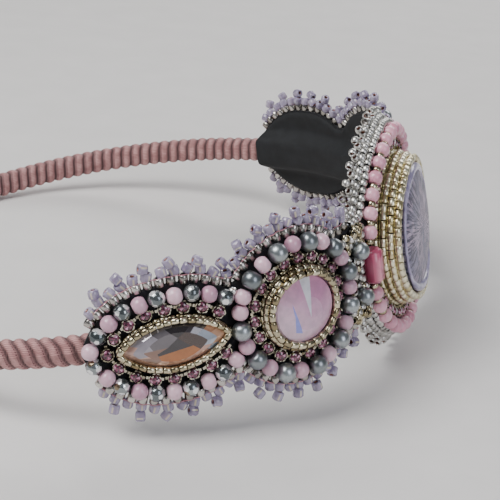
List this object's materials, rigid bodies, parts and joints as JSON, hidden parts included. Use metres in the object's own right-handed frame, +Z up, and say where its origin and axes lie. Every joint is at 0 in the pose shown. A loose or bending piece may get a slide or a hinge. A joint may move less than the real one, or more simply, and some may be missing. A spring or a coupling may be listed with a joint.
{
  "type": "beaded headband",
  "caption": "Ribbon-wound hoop headband with a bead-embroidered panel of five lobes: round medallion at the crown, round and marquise crystal lobes each side, lying on its side.",
  "frame": {"origin": "on the surface it lies on, under the middle of the headband's bounding box", "axes": "+Z up from the surface; +X towards the hoop's crown, where the medallion is; Y across the hoop, from side to side"},
  "size_m": [0.1568, 0.1682, 0.0651],
  "materials": {
    "ribbon": "dusty-pink grosgrain ribbon, matte",
    "felt": "near-black felt",
    "lining_leather": "charcoal sueded leather",
    "silver_seed": "silver-plated glass seed beads",
    "lilac_seed": "lilac opal seed beads, silver lined",
    "gold_seed": "pale gold cylinder beads, galvanised",
    "pink_bead": "matte pink glass",
    "pearl": "grey coated glass pearl",
    "cup_chain": "amethyst-pink rhinestones in champagne-silver cups",
    "champagne_stone": "champagne-peach cut crystal, foiled",
    "opal_stone": "milky pink opal crystal, foiled",
    "mauve_stone": "mauve-grey striated glass cabochon",
    "lilac_glass": "lilac translucent glass",
    "rose_glass": "matte rose glass"
  },
  "bodies": {
    "root": {"wrapped_hoop": "ribbon", "felt_base": "felt", "leather_lining": "lining_leather", "edging_medallion_upper": "silver_seed", "edging_medallion_lower": "silver_seed", "edging_round_left_upper": "lilac_seed", "edging_round_left_lower": "lilac_seed", "edging_round_right_upper": "lilac_seed", "edging_round_right_lower": "lilac_seed", "edging_navette_left_upper": "lilac_seed", "edging_navette_left_lower": "lilac_seed", "edging_navette_right_upper": "lilac_seed", "edging_navette_right_lower": "lilac_seed", "medallion_stone": "mauve_stone", "lilac_ring": "lilac_glass", "medallion_bezel": "gold_seed", "medallion_cup_chain": "cup_chain", "medallion_bead_ring_upper": "pink_bead", "medallion_bead_ring_lower": "pink_bead", "round_stone_left": "opal_stone", "round_bezel_left": "gold_seed", "round_cup_chain_left": "cup_chain", "round_bead_ring_left": "pearl", "navette_stone_left": "champagne_stone", "navette_bezel_left": "gold_seed", "navette_cup_chain_left": "cup_chain", "navette_bead_ring_left": "pink_bead", "tube_bead_left": "rose_glass", "spacer_pearl_left_upper": "pearl", "spacer_pearl_left_lower": "pearl", "seed_cluster_left_upper": "gold_seed", "seed_cluster_left_lower": "gold_seed", "round_stone_right": "opal_stone", "round_bezel_right": "gold_seed", "round_cup_chain_right": "cup_chain", "round_bead_ring_right": "pearl", "navette_stone_right": "champagne_stone", "navette_bezel_right": "gold_seed", "navette_cup_chain_right": "cup_chain", "navette_bead_ring_right": "pink_bead", "tube_bead_right": "rose_glass", "spacer_pearl_right_upper": "pearl", "spacer_pearl_right_lower": "pearl", "seed_cluster_right_upper": "gold_seed", "seed_cluster_right_lower": "gold_seed"}
  },
  "joints": []
}
